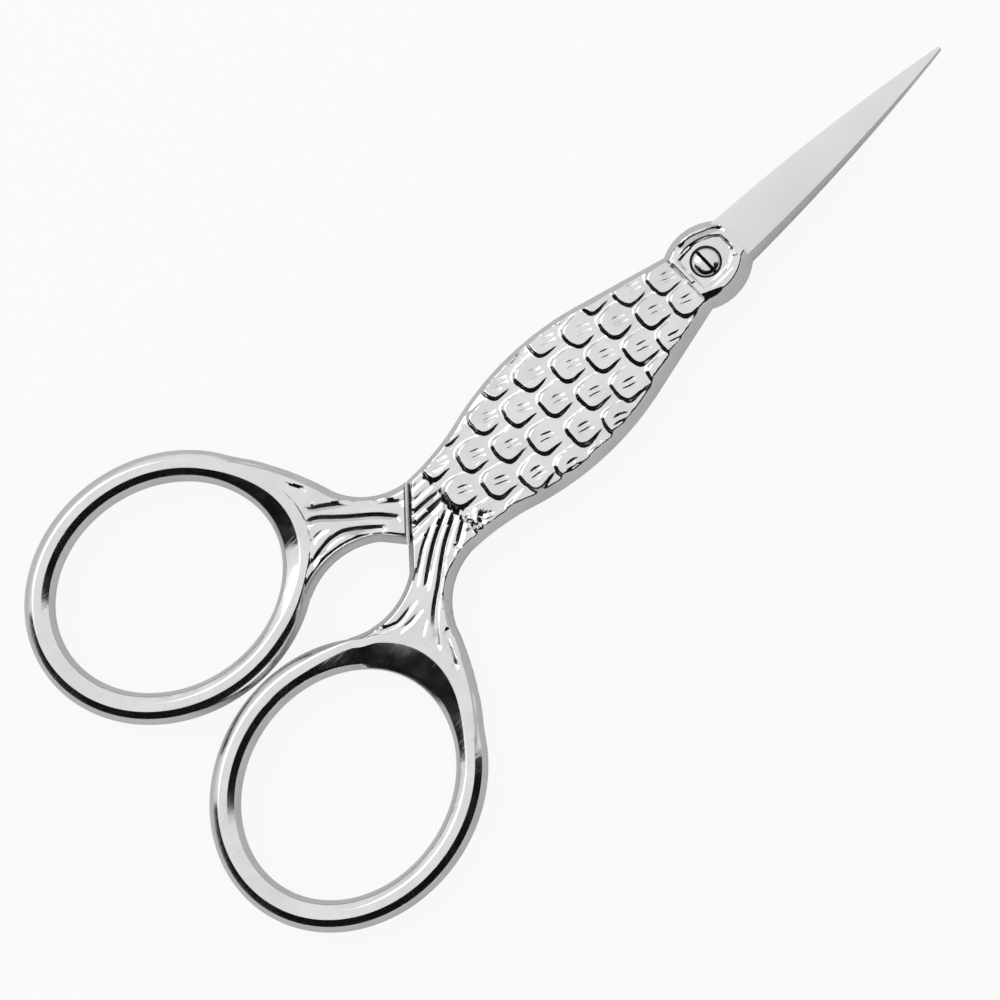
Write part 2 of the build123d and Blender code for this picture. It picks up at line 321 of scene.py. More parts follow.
forgingSizes = {
    "shoulderX": 3.75, "shoulderHalfWidth": 3.0,
    "runPast": 2.0,  # the outline runs this far past the shoulder, and is cut off square there
    "notchX": -2.8, "notchHalfWidth": 3.8, "panelHalfWidth": 4.45, "bodyLength": 35.9,
    "bodyHalfWidth": 7.5,
    "flank": {  # shares of the body's length, from the notch, and of its half width
        "straightEnd": (0.27, 0.84), "widest": (0.52, 1), "bend": (0.785, 0.815), "waist": (0.89, 0.716),
    },
    "tailHalfWidth": 5.15, "tailEndLength": 4.4,
    "wallSlope": 2.246,  # rise of the drafted walls for each unit inwards
}
ringSizes = {
    "holeHalfLength": 12.64, "holeHalfWidth": 10.75, "width": 3.5, "halfHeight": 1.75,
    "crownWidth": 0.9,
    "sideInset": 0.06,  # the section stays this far inside the full width
    "shankReach": 1.3,  # the section runs this much wider inside the shank, between these angles
    "shankReachFrom": (-40, -14), "shankReachTo": (16, 34), "crownMargin": 0.25,
    "tilt": 12.6,  # degrees
    "centre": (-64.8, -14.4), "outerJoinAngle": -57.0, "innerJoinAngle": 67.0,
    "joinInset": 0.45,
    "crownInset": 1.75,  # from the hole's edge to the crown's middle, where the ring stands free
    "crownInsetShank": 3.75,  # the same where the shank runs in
    "crownInsetUnder": 2.9, "crownMiddleAngle": 8.0, "crownReach": 56.0, "segments": 220,
    "wideFrom": (2.0, 3.2),  # the section's inner bend changes as its crown moves out between these
    "bendInset": (0.5, 0.2), "bendHeight": (1.12, -0.55), "outerBend": (0.45, 1.1),
    "sectionRadii": (0.3, 0.8, 0.6, 0.6, 0.8, 0.3, 0.8, 0.6, 0.6, 0.8),
}
shankShares = {  # of the way to the ring's centre, in X and in Y
    "hollow": (0.149, 0.157), "knee": (0.249, 0.514), "flare": (0.333, 1.086),
    "webFront": (0.092, 0.163), "webMiddle": (0.276, 0.274), "webBack": (0.514, 0.212),
}


def ringPoint(angle, outward):
    ring = ringSizes
    along = (ring["holeHalfLength"] + outward) * math.cos(math.radians(angle))
    across = (ring["holeHalfWidth"] + outward) * math.sin(math.radians(angle))
    tilt = math.radians(ring["tilt"])
    return (
        ring["centre"][0] + along * math.cos(tilt) - across * math.sin(tilt),
        ring["centre"][1] + along * math.sin(tilt) + across * math.cos(tilt),
    )


def crownInset(angle, under=False):
    ring = ringSizes
    wide = ring["crownInsetUnder" if under else "crownInsetShank"]
    off = abs((angle - ring["crownMiddleAngle"] + 180) % 360 - 180)
    blend = 1 - smoothStep(0, 1, off / ring["crownReach"])
    return between(ring["crownInset"], wide, blend)


def ringReach(angle):
    # how far the ring's section runs out, and where its crown lies, above and below
    ring = ringSizes
    signed = (angle + 180) % 360 - 180
    outer = ring["width"] - ring["sideInset"] + (
        ring["shankReach"] * (1 - smoothStep(*ring["shankReachTo"], signed))
        * smoothStep(*ring["shankReachFrom"], signed))
    most = outer - 0.5 * ring["crownWidth"] - ring["crownMargin"]
    return outer, min(crownInset(angle), most), min(crownInset(angle, under=True), most)


def flankPoints(side):
    size = forgingSizes
    wide = side * size["bodyHalfWidth"]
    notchX, length = size["notchX"], size["bodyLength"]
    return {
        "front": (size["shoulderX"] + size["runPast"], side * size["shoulderHalfWidth"]),
        "shoulder": (size["shoulderX"], side * size["shoulderHalfWidth"]),
        "panel": (0, side * size["panelHalfWidth"]),
        "notch": (notchX, side * size["notchHalfWidth"]),
        **{key: (notchX - along * length, across * wide) for key, (along, across) in size["flank"].items()},
        "corner": (notchX - length, side * size["tailHalfWidth"]),
    }


def towardsRing(start, share):
    centre = ringSizes["centre"]
    return (start[0] + share[0] * (centre[0] - start[0]), start[1] + share[1] * (centre[1] - start[1]))


tailX = forgingSizes["notchX"] - forgingSizes["bodyLength"]
tailPoint = (tailX - forgingSizes["tailEndLength"], 0.0)


def flankRun(side, step):
    at = flankPoints(side)
    runs = (
        ("front", "shoulder"), ("shoulder", "panel", "notch"), ("notch", "straightEnd"),
        ("straightEnd", "widest", "bend"), ("bend", "waist", "corner"))
    return trace(step, *([at[key] for key in run] for run in runs))


def forgingOutline(step):
    ring, share = ringSizes, shankShares
    outer, inner = ring["outerJoinAngle"], ring["innerJoinAngle"]
    joinOut = ring["width"] - ring["joinInset"]
    corner = flankPoints(-1)["corner"]
    webFront, webMiddle, webBack = (
        towardsRing(tailPoint, share[key]) for key in ("webFront", "webMiddle", "webBack"))
    knee = towardsRing(corner, share["knee"])
    # anticlockwise: the upper side, the run hidden in the ring, the lower side and the front
    upper = flankRun(1, step) + trace(
        step, (flankPoints(1)["corner"], tailPoint), (tailPoint, webFront), (webFront, webMiddle, webBack),
        (webBack, ringPoint(inner, joinOut)))
    hidden = straight(ringPoint(inner, joinOut), ringPoint(inner, ringReach(inner)[1]), step)
    turns = max(2, math.ceil((inner - outer) / 2))
    for i in range(turns):
        angle = inner + (outer - inner) * i / turns
        hidden.append(ringPoint(angle, ringReach(angle)[1]))
    hidden += straight(ringPoint(outer, ringReach(outer)[1]), ringPoint(outer, joinOut), step)
    lower = trace(
        step, (ringPoint(outer, joinOut), towardsRing(corner, share["flare"]), knee),
        (knee, towardsRing(corner, share["hollow"]), corner))
    back = flankRun(-1, step)
    lower += [corner, *back[:0:-1], back[0]]
    front = straight(flankPoints(-1)["front"], flankPoints(1)["front"], step)[1:]
    return upper, hidden, lower, front


def wallTree(walls, step=0.02):
    samples = []
    for run in walls:
        for start, end in zip(run[:-1], run[1:]):
            samples += straight(start, end, step)
        samples.append(tuple(run[-1]))
    tree = KDTree(len(samples))
    for index, sample in enumerate(samples):
        tree.insert((sample[0], sample[1], 0), index)
    tree.balance()
    return tree


def distanceTo(tree, points):
    return np.array([tree.find((x, y, 0))[2] for x, y in points])


def farFrom(tree, points, gap):
    return points[distanceTo(tree, points) > gap]


def pointsInside(outline, points):
    inside = np.zeros(len(points), bool)
    for (x0, y0), (x1, y1) in zip(outline, np.roll(outline, -1, 0)):
        if y0 == y1:
            continue
        spans = (points[:, 1] < max(y0, y1)) & (points[:, 1] >= min(y0, y1))
        crossing = x0 + (points[:, 1] - y0) * (x1 - x0) / (y1 - y0)
        inside ^= spans & (points[:, 0] < crossing)
    return points[inside]


planSettings = {
    "edgeStep": 0.15, "bandRows": 9, "bandPitch": 0.1, "pitch": 0.105, "underPitch": 0.2,
    "rowShare": 0.97,  # points of a row that come nearer to another wall than this share are left out
    "gridMargin": 0.6, "grooveMargin": 0.58, "grooveRows": (-0.5, -0.25, 0, 0.25, 0.5),
    "grooveSlack": 0.02, "wallMargin": 0.08,
}


def planMesh(name, pitch, paths):
    settings = planSettings
    band, rows = settings["bandPitch"], settings["bandRows"]
    upper, hidden, lower, front = forgingOutline(settings["edgeStep"])
    outline = np.array(upper + hidden + lower + front)
    tree = wallTree([upper + hidden[:1], lower + front[:1]])
    ahead, behind = np.roll(outline, -1, 0), np.roll(outline, 1, 0)
    area = (outline[:, 0] * ahead[:, 1] - ahead[:, 0] * outline[:, 1]).sum()
    inward = leftOf(ahead - behind) * np.sign(area)
    onWall = np.zeros(len(outline), bool)
    onWall[:len(upper) + 1] = True
    onWall[len(upper) + len(hidden):len(upper) + len(hidden) + len(lower) + 1] = True
    inner = []
    for row in range(1, rows + 1):
        rowPoints = pointsInside(outline, outline[onWall] + inward[onWall] * row * band)
        inner.append(farFrom(tree, rowPoints, settings["rowShare"] * row * band))
    low, high = outline.min(0), outline.max(0)
    gridX, gridY = np.meshgrid(np.arange(low[0], high[0], pitch), np.arange(low[1], high[1], pitch))
    grid = pointsInside(outline, np.c_[gridX.ravel(), gridY.ravel()])
    grid = farFrom(tree, grid, (rows + settings["gridMargin"]) * band)
    # rows of points along each groove keep its sides clean
    for path, width in paths:
        middle = np.vstack([straight(a, b, settings["edgeStep"]) for a, b in zip(path[:-1], path[1:])])
        aside = leftOf(np.gradient(middle, axis=0))
        lineTree = wallTree([middle])
        clear = settings["grooveMargin"] * width
        grid = farFrom(lineTree, grid, clear)
        inner = [farFrom(lineTree, row, clear) for row in inner]
        for share in settings["grooveRows"]:
            row = middle + aside * share * width
            row = farFrom(lineTree, row, abs(share) * width - settings["grooveSlack"])
            inner.append(farFrom(tree, pointsInside(outline, row), settings["wallMargin"]))
    points = np.vstack([outline, *inner, grid])
    edges = [(i, (i + 1) % len(outline)) for i in range(len(outline))]
    made, _, faces, sources, _, _ = delaunay_2d_cdt([Vector(p) for p in points], edges, [], 1, 1e-6)
    obj = meshObject(name, [(p[0], p[1], 0) for p in made], faces)
    border = [0] * len(outline)
    for index, inputs in enumerate(sources):
        for source in inputs:
            if source < len(outline):
                border[source] = index
    edge = distanceTo(tree, positions(obj)[:, :2])
    edge[np.array(border)[onWall]] = 0
    obj.data.attributes.new("edge", "FLOAT", "POINT").data.foreach_set("value", edge.astype(np.float32))
    print(name, "plan:", len(obj.data.vertices), "points")
    return obj, border


# Heights of the forging's upper side, before scales and grooves

reliefSizes = {
    "panelHeight": 2.35,
    "fieldHeight": 2.0,  # round the screw
    "fieldHalfWidths": (2.1, 2.35, 1.0),  # at the crossbar, the screw and the shoulder
    "fieldBackX": -2.2, "fieldFrontX": 3.15, "crossbar": (-2.7, -2.25, -0.8, 2.3),
    "crossbarHeight": 2.55, "crownHeight": 2.4, "crownFrontHeight": 2.0,
    "crownBackHeight": 1.95, "crownRadius": 38.0, "crownFrontInset": 0.8, "tailRaysLength": 1.9,
    "tailFade": (-0.9, 0.4),  # where the crown falls to the shank, either side of the rays' end
    "shankHeight": 1.65,
    "scaleBed": 0.17,  # the crown lies this much deeper between the scales
    "fieldEdge": 0.3, "crossbarEdge": 0.12,
    "hollow": (-1.5, -2.75),  # at the crossbar's lower end, falling away from this point
    "hollowFall": (0.4, 0.92), "hollowReach": 0.75, "hollowDepth": 0.95,
    "hollowFade": (0.35, 0.75),
    "knobs": ((3.0, -0.75), (2.8, -1.6)),  # beside the shoulder
    "knobHeight": 0.2, "knobSpread": 0.06, "edgeRound": 0.32, "edgeRoundUnder": 0.9,
}


def crownLine(x):
    size = reliefSizes
    frontX = forgingSizes["notchX"] + size["crownFrontInset"]
    backX = tailX + size["tailRaysLength"]
    widestX = flankPoints(1)["widest"][0]
    line = np.polyfit(
        (backX, widestX, frontX), (size["crownBackHeight"], size["crownHeight"], size["crownFrontHeight"]), 2)
    return np.polyval(line, x)


def crownSurface(x, y):
    radius = reliefSizes["crownRadius"]
    axisHeight = reliefSizes["crownHeight"] - radius
    return np.sqrt((crownLine(x) - axisHeight) ** 2 - np.asarray(y) ** 2) + axisHeight


def upperHeights(x, y):
    size = reliefSizes
    notchX, backX = forgingSizes["notchX"], tailX + size["tailRaysLength"]
    height = crownSurface(x, y) - size["scaleBed"]
    fadeBack, fadeFront = size["tailFade"]
    height = between(height, size["shankHeight"], 1 - smoothStep(backX + fadeBack, backX + fadeFront, x))
    back, middle, front = size["fieldHalfWidths"]
    fieldHalf = np.where(
        x < 0, between(middle, back, (x / size["fieldBackX"]) ** 2),
        between(middle, front, (x / size["fieldFrontX"]) ** 2))
    inField = np.minimum.reduce([
        fieldHalf - np.abs(y), x - size["fieldBackX"], size["fieldFrontX"] - x])
    panel = between(size["panelHeight"], size["fieldHeight"], smoothStep(0, size["fieldEdge"], inField))
    x0, x1, y0, y1 = size["crossbar"]
    inBar = np.minimum.reduce([x - x0, x1 - x, y - y0, y1 - y])
    bar = smoothStep(-size["crossbarEdge"], size["crossbarEdge"], inBar)
    panel = between(panel, size["crossbarHeight"], bar)
    (hx, hy), (fallX, fallY) = size["hollow"], size["hollowFall"]
    hollow = np.clip(-(x - hx) * fallX - (y - hy) * fallY, 0, size["hollowReach"])
    hollow *= smoothStep(*size["hollowFade"], -x)
    knobs = sum(np.exp(-((x - kx) ** 2 + (y - ky) ** 2) / size["knobSpread"]) for kx, ky in size["knobs"])
    panel += size["knobHeight"] * knobs - size["hollowDepth"] * hollow
    return np.where(x > notchX, panel, height)


def underHeights(x, y):
    return np.full(len(x), reliefSizes["shankHeight"])


# Scales: one modelled lobe, set out over the crown in alternating columns

scaleLayout = {
    "First X": -4.35, "Columns": 10, "Rows": 5, "Column Pitch": 3.42, "Row Pitch": 4.0,
    "Nose Share": 0.84, "Full Column": 4.0,
    "Tilt": 7.5,  # degrees, free end up
    "Rise": 0.11,
    "Turn": 7.0,  # degrees, at most, either way
    "Shift": 0.14,
    "Warp": 0.2,  # how far the lobes' outlines wander
    "Warp Scale": 0.55, "Smoothing": 1,
    "Uneven": 0.07,  # waves of the tops
    "Wave Scale": 1.1, "Wave Detail": 2.5,
    "Flank Share": 3.0,  # how much stronger they are on the lower flank, fully so from Flank To on
    "Flank From": -3.4, "Flank To": -5.4,
    "Seed": 11,
}
scaleSizes = {
    "pitch": 0.09, "radius": 2.08, "rootLength": 3.0, "squareness": 0.05, "rimWidth": 0.6,
    "rimSlope": 1.05, "rimRound": 0.1,
    "endSteepness": 0.5,  # the rim falls this share steeper at the free end
    "endSpread": 0.5, "lip": 0.07, "lipInset": 0.12, "lipSpread": 0.17, "dish": 0.05,
    "dishSpread": 0.9, "overhang": 0.05, "lipFade": (-1.5, 0.3), "dishFade": (-1, 1.2),
    "patchX": (-42, 1, 60), "patchY": (-11, 11, 45),
    "notchMargin": 0.05, "tailMargin": 0.6,
}
veinSettings = {
    "strokes": ((0.75, 0.15, -0.95, 0.6), (0.3, -0.35, -1.1, 0.02)), "width": 0.17,
    "depth": 0.25, "fade": (0.15, 0.7),
}


def scaleTemplate():
    size, vein = scaleSizes, veinSettings
    edge, (fadeFrom, fadeBy) = size["radius"] + size["overhang"], vein["fade"]
    radius, root, pitch, rimRound = size["radius"], size["rootLength"], size["pitch"], size["rimRound"]
    u, v = np.meshgrid(
        np.linspace(-root, edge, round((radius + root) / pitch)),
        np.linspace(-edge, edge, round(2 * radius / pitch)))
    reach = np.where(u > 0, np.hypot(u, v), np.abs(v))
    reach *= 1 + size["squareness"] * np.cos(4 * np.arctan2(v, np.maximum(u, 0)))
    inward = radius - reach
    short = size["rimWidth"] - inward
    steep = 1 + size["endSteepness"] * bell(np.arctan2(v, np.maximum(u, 0.01)), size["endSpread"])
    height = -size["rimSlope"] * steep * np.where(
        short > rimRound, short, np.clip(short + rimRound, 0, None) ** 2 / (4 * rimRound))
    lip = bell(inward - size["rimWidth"] - size["lipInset"], size["lipSpread"])
    height += size["lip"] * lip * smoothStep(*size["lipFade"], u)
    height -= size["dish"] * bell(v, size["dishSpread"]) * smoothStep(*size["dishFade"], u)
    for u0, v0, u1, v1 in vein["strokes"]:
        t = np.clip((u - u0) / (u1 - u0), 0, 1)
        gap = np.hypot(u - u0 - t * (u1 - u0), v - v0 - t * (v1 - v0))
        fade = np.sin(math.pi * (fadeFrom + fadeBy * t))
        height -= vein["depth"] * bell(gap, vein["width"]) * fade
    return meshObject("scaleTemplate", np.c_[u.ravel(), v.ravel(), height.ravel()], gridFaces(*u.shape))


def crownPatch():
    x, y = np.meshgrid(np.linspace(*scaleSizes["patchX"]), np.linspace(*scaleSizes["patchY"]))
    points = np.c_[x.ravel(), y.ravel(), crownSurface(x.ravel(), y.ravel())]
    return meshObject("crownPatch", points, gridFaces(*x.shape))


def lobePlaces(tree, given):
    # every second column is set off by half a row; the rows lie closer near the nose
    index = output(tree, "GeometryNodeInputIndex")
    column = calc(tree, "FLOOR", calc(tree, "DIVIDE", index, given["Rows"]))
    row = calc(tree, "SUBTRACT", calc(tree, "MODULO", index, given["Rows"]), 2)
    evenColumn = calc(tree, "SUBTRACT", 1, calc(tree, "MODULO", column, 2))
    row = calc(tree, "ADD", row, calc(tree, "MULTIPLY", evenColumn, 0.5))
    spread = calc(tree, "DIVIDE", column, given["Full Column"])
    spread = calc(tree, "MULTIPLY", spread, calc(tree, "SUBTRACT", 1, given["Nose Share"]))
    spread = calc(tree, "MINIMUM", calc(tree, "ADD", spread, given["Nose Share"]), 1)
    x = calc(tree, "SUBTRACT", given["First X"], calc(tree, "MULTIPLY", column, given["Column Pitch"]))
    y = calc(tree, "MULTIPLY", calc(tree, "MULTIPLY", row, spread), given["Row Pitch"])
    chance = output(
        tree, "FunctionNodeRandomValue", {0: (-1, -1, -1), 1: (1, 1, 1), "Seed": given["Seed"]},
        data_type="FLOAT_VECTOR")
    wander = vectorMath(tree, "SCALE", vectorMath(tree, "MULTIPLY", chance, (1, 1, 0)), given["Shift"])
    return vectorMath(tree, "ADD", combined(tree, x, y, castHeight), wander), chance


def lobeTurns(tree, given, normal, chance):
    facing = output(
        tree, "FunctionNodeAxesToRotation", {"Primary Axis": normal, "Secondary Axis": (-1, 0, 0)},
        primary_axis="Z", secondary_axis="X")
    lean = calc(tree, "MULTIPLY", calc(tree, "RADIANS", given["Tilt"]), -1)
    yaw = calc(tree, "MULTIPLY", separated(tree, chance)[2], calc(tree, "RADIANS", given["Turn"]))
    lean = output(tree, "FunctionNodeEulerToRotation", {0: combined(tree, y=lean, z=yaw)})
    return output(tree, "FunctionNodeRotateRotation", {0: facing, 1: lean}, rotation_space="LOCAL")


def scaleTree():
    tree, given = newTree("scaleLayout", [
        *((label, "Int" if isinstance(value, int) else "Float") for label, value in scaleLayout.items()),
        ("Scale", "Object"), ("Crown", "Object"), ("Notch X", "Float"), ("Back X", "Float"),
        ("Material", "Material"),
    ])
    position = output(tree, "GeometryNodeInputPosition")
    place, chance = lobePlaces(tree, given)
    count = calc(tree, "MULTIPLY", given["Columns"], given["Rows"])
    crown = objectGeometry(tree, given["Crown"])
    points = output(tree, "GeometryNodePoints", {"Count": count, "Position": place})
    points = output(tree, "GeometryNodeSetPosition", {
        "Geometry": points, "Position": castDown(tree, crown, position)["Hit Position"],
        "Offset": combined(tree, z=given["Rise"])})
    # the crown's normal is read once the points lie on it
    normal = castDown(tree, crown, lifted(tree, position))["Hit Normal"]
    lobes = output(tree, "GeometryNodeInstanceOnPoints", {
        "Points": points, "Instance": objectGeometry(tree, given["Scale"]),
        "Rotation": lobeTurns(tree, given, normal, chance)})
    lobes = output(tree, "GeometryNodeRealizeInstances", {0: lobes})
    # the skin is raised onto the lobes from below, their outlines wandering a little
    sway = noise(tree, position, given["Warp Scale"])["Color"]
    sway = vectorMath(tree, "MULTIPLY", vectorMath(tree, "ADD", sway, (-0.5, -0.5, -0.5)), (2, 2, 0))
    source = vectorMath(tree, "ADD", position, vectorMath(tree, "SCALE", sway, given["Warp"]))
    down = castDown(tree, lobes, lifted(tree, source))
    x, y, z = separated(tree, position)
    behindNotch, beforeTail = (
        output(tree, "FunctionNodeCompare", {0: x, 1: given[edge]}, operation=operation)
        for edge, operation in (("Notch X", "LESS_THAN"), ("Back X", "GREATER_THAN")))
    within = behindNotch
    for other in (beforeTail, down["Is Hit"]):
        within = output(tree, "FunctionNodeBooleanMath", {0: within, 1: other})
    waves = calc(tree, "SUBTRACT", noise(tree, position, given["Wave Scale"], given["Wave Detail"])[0], 0.5)
    waves = calc(tree, "MULTIPLY", waves, given["Uneven"])
    flank = remapped(tree, y, given["Flank From"], given["Flank To"], 1.0, given["Flank Share"])
    waves = calc(tree, "MULTIPLY", waves, flank)
    raised = calc(tree, "MAXIMUM", z, separated(tree, down["Hit Position"])[2])
    height = switched(tree, within, z, calc(tree, "ADD", raised, waves))
    blurred = output(
        tree, "GeometryNodeBlurAttribute", {0: height, "Iterations": given["Smoothing"]},
        data_type="FLOAT")
    height = switched(tree, behindNotch, height, blurred)
    return endTree(tree, given, {"Position": combined(tree, x, y, height)})


# Grooves, cut along their curves in plan

grooveSettings = {
    "wide": {"Width": 1.0, "Depth": 0.38},
    "fine": {"Width": 0.74, "Depth": 0.27},
    "panel": {"Width": 0.68, "Depth": 0.32},
    "line": {"Width": 0.4, "Depth": 0.16},
    "flatShare": 0.15,  # of the half width, at full depth
    "endLift": 0.2,  # a line's ends are lifted this far from the plane of cutting, so that it runs out
}
upperGrooves = {
    "wide": [
        ((-43.2, 0.55), (-42, 0.55), (-40, 0.62), (-37.3, 0.6)),
        ((-42.2, 1.62), (-41.2, 1.62), (-40.2, 1.72), (-38.6, 1.66), (-36.8, 1.55)),
        ((-37.4, -0.3), (-40, -1.5), (-42.5, -3.2), (-44.8, -4.95)),
        ((-37.2, -1.35), (-39.5, -2.5), (-41.5, -4), (-43.5, -5.7), (-44.5, -6.4), (-46, -7.6), (-47.5, -9.3),
         (-48.1, -10.4)),
        ((-36.6, -2.15), (-38, -3.1), (-39.3, -3.95)),
        ((-35.9, -2.6), (-37.4, -3.95)),
        ((-35.0, -3.3), (-36.1, -4.2)),
        ((-46.3, -9.9), (-47.5, -11.5), (-48.1, -13.2)),
    ],
    "fine": [
        ((-41, 2.75), (-40, 2.72), (-37.1, 2.7)),
        ((-40.2, 3.75), (-39.2, 3.82), (-37.2, 3.8)),
        ((-42.9, -0.5), (-41.1, -0.38)),
        ((-39.1, -0.12), (-41.5, -1.2), (-43, -2.2), (-45.4, -4.05)),
        ((-39.5, -3.9), (-41.4, -4.8)),
        ((-52.8, -4.3), (-50, -5.6), (-49, -5.75), (-46.5, -5.2)),
        ((-46.8, -6.3), (-48.3, -6.7), (-50, -6.4)),
        ((-47.2, -7.5), (-48.5, -8.4)),
        ((-44.9, -8.4), (-46.2, -10.2), (-47.0, -12.6)),
        ((-45.2, -10.6), (-46.0, -13.0)),
    ],
}
lowerGrooves = {
    "wide": [
        ((-48.6, -9.95), (-46.9, -8.9), (-45, -7.4), (-43, -5.7), (-40.6, -3.6)),
        ((-49.4, -8.85), (-48.7, -8.8), (-47, -7.2), (-45.5, -5.9), (-43.3, -4.2), (-41.9, -2.5)),
        ((-52, -5.2), (-50, -5.75), (-48, -5.75), (-46.5, -5.1), (-43.6, -2.7)),
    ],
    "fine": [
        ((-48.4, -13.8), (-47.8, -12.6), (-47.2, -11.6)),
        ((-48.7, -11.5), (-47.4, -10.2)),
        ((-50.3, -6.9), (-49.6, -7.3), (-48.3, -6.95)),
    ],
}
panelGrooves = {
    "panel": [
        ((-1.4, 2.9), (0.25, 2.95), (1.9, 2.35), (3.06, 1.8), (3.62, 1.35)),
    ],
    "line": [
        ((-2.7, 2.15), (-1, 2.4), (0.5, 2.3), (1.9, 1.8), (3.0, 1.1)),
        ((-2.0, -1.72), (0, -1.95), (2.3, -1.65)),
        ((-2.0, -2.35), (0, -2.6), (2.3, -2.3)),
        ((-2.12, 1.9), (-2.12, -0.6)),
        ((3.15, 0.9), (3.1, -0.45), (2.75, -1.25)),
    ],
}


def groovePaths(curves, width):
    mesh = bpy.data.meshes.new_from_object(curves)
    points = np.array([vertex.co[:2] for vertex in mesh.vertices])
    links = {edge.vertices[0] for edge in mesh.edges}
    cuts = [i + 1 for i in range(len(points)) if i not in links]
    bpy.data.meshes.remove(mesh)
    return [(part, width) for part in np.split(points, cuts) if len(part) > 1]


def grooveCurves(name, lines):
    data = bpy.data.curves.new(name, "CURVE")
    data.dimensions = "3D"
    lift = grooveSettings["endLift"]
    for line in lines:
        spline = data.splines.new("NURBS")
        spline.points.add(len(line) - 1)
        for index, (x, y) in enumerate(line):
            ends = index in (0, len(line) - 1)
            spline.points[index].co = (x, y, lift if ends else 0, 1)
        spline.order_u = min(3, len(line))
        spline.use_endpoint_u = True
    return linkObject(name, data)


def grooveTree():
    tree, given = newTree("grooves", [
        ("Lines", "Object"), ("Width", "Float"), ("Depth", "Float"), ("Material", "Material")])
    lines = output(tree, "GeometryNodeCurveToMesh", {0: objectGeometry(tree, given["Lines"])})
    x, y, _ = separated(tree, output(tree, "GeometryNodeInputPosition"))
    near = addNode(
        tree, "GeometryNodeProximity", {0: lines, "Source Position": combined(tree, x, y)},
        target_element="EDGES").outputs["Distance"]
    half = calc(tree, "MULTIPLY", given["Width"], 0.5)
    flat = calc(tree, "MULTIPLY", half, grooveSettings["flatShare"])
    depth = remapped(tree, near, flat, half, given["Depth"], 0.0)
    return endTree(tree, given, {"Offset": combined(tree, z=calc(tree, "MULTIPLY", depth, -1))})


def wallTrim(obj, rounding):
    flat = np.zeros(len(obj.data.vertices), np.float32)
    obj.data.attributes["edge"].data.foreach_get("value", flat)
    place = positions(obj)
    wall, height = forgingSizes["wallSlope"] * flat, place[:, 2]
    blend = np.clip(rounding - np.abs(wall - height), 0, None)
    place[:, 2] = np.where(flat == 0, 0, np.minimum(wall, height) - blend ** 2 / (4 * rounding))
    movePoints(obj, place)


print("trees and outlines ready")


def roundedLoop(corners, radii, steps=4, edgeShare=0.48):
    # a corner's rounding takes up at most this share of the edges beside it
    loop = []
    for index, corner in enumerate(corners):
        corner = Vector(corner)
        before, after = Vector(corners[index - 1]), Vector(corners[(index + 1) % len(corners)])
        back, ahead = (before - corner).normalized(), (after - corner).normalized()
        half = back.angle(ahead) / 2
        length = min(
            radii[index] / math.tan(half), edgeShare * (before - corner).length,
            edgeShare * (after - corner).length)
        start, end = corner + back * length, corner + ahead * length
        for step in range(steps + 1):
            t = step / steps
            loop.append((1 - t) ** 2 * start + 2 * t * (1 - t) * corner + t * t * end)
    return loop


def loftLoops(name, loops, closed):
    size = len(loops[0])
    faces = []
    for index in range(len(loops) if closed else len(loops) - 1):
        first, second = index * size, (index + 1) % len(loops) * size
        faces += [
            (first + i, first + (i + 1) % size, second + (i + 1) % size, second + i) for i in range(size)]
    if not closed:
        faces += [tuple(range(size)), tuple(range((len(loops) - 1) * size, len(loops) * size))]
    return meshObject(name, [point for loop in loops for point in loop], faces)


def ringMesh():
    ring = ringSizes
    high, crown = ring["halfHeight"], 0.5 * ring["crownWidth"]
    bendInset, bendHeight, outerBend = ring["bendInset"], ring["bendHeight"], ring["outerBend"]
    loops = []
    for step in range(ring["segments"]):
        angle = 360 * step / ring["segments"]
        outer, over, under = ringReach(angle)
        corners = [(0, 0)]
        for side, middle in ((1, over), (-1, under)):
            wide = smoothStep(*ring["wideFrom"], middle)
            bend = bendInset[0] + bendInset[1] * wide, side * (bendHeight[0] + bendHeight[1] * wide)
            crownRun = [bend, (middle - crown, side * high), (middle + crown, side * high)]
            crownRun.append((outer - outerBend[0], side * outerBend[1]))
            corners += crownRun if side == 1 else [(outer, 0), *reversed(crownRun)]
        loop = roundedLoop(corners, ring["sectionRadii"])
        loops.append([(*ringPoint(angle, across), rise) for across, rise in loop])
    return loftLoops("ring", loops, True)


def prism(name, outline, low, high):
    count = len(outline)
    points = [(x, y, low) for x, y in outline] + [(x, y, high) for x, y in outline]
    faces = [tuple(range(count)), tuple(range(count, 2 * count))]
    faces += [(i, (i + 1) % count, count + (i + 1) % count, count + i) for i in range(count)]
    obj = meshObject(name, points, faces)
    cleanMesh(obj)
    return obj


def disc(name, radius, low, high, sides=72):
    return prism(name, circle(radius, sides), low, high)


# Fit of the two halves and the screw

fitSizes = {
    "meetingGap": 0.02, "tailGap": 0.15, "screwRadius": 1.0, "runningGap": 0.03,
    "threadGap": 0.01, "headRadius": 1.6, "headGap": 0.13, "headSeat": 1.55, "cutReach": 30,
    "cutHeight": 6,
    "cutAhead": (8, 9),  # the cuts run this far past the shoulder, for the other half and for the blade
}


def raiseScales(skin, material):
    template, crown = scaleTemplate(), crownPatch()
    runTree(skin, scaleTree(), {
        **scaleLayout, "Scale": template, "Crown": crown, "Material": material,
        "Notch X": forgingSizes["notchX"] - scaleSizes["notchMargin"],
        "Back X": tailX - scaleSizes["tailMargin"],
    })
    discard(template, crown)


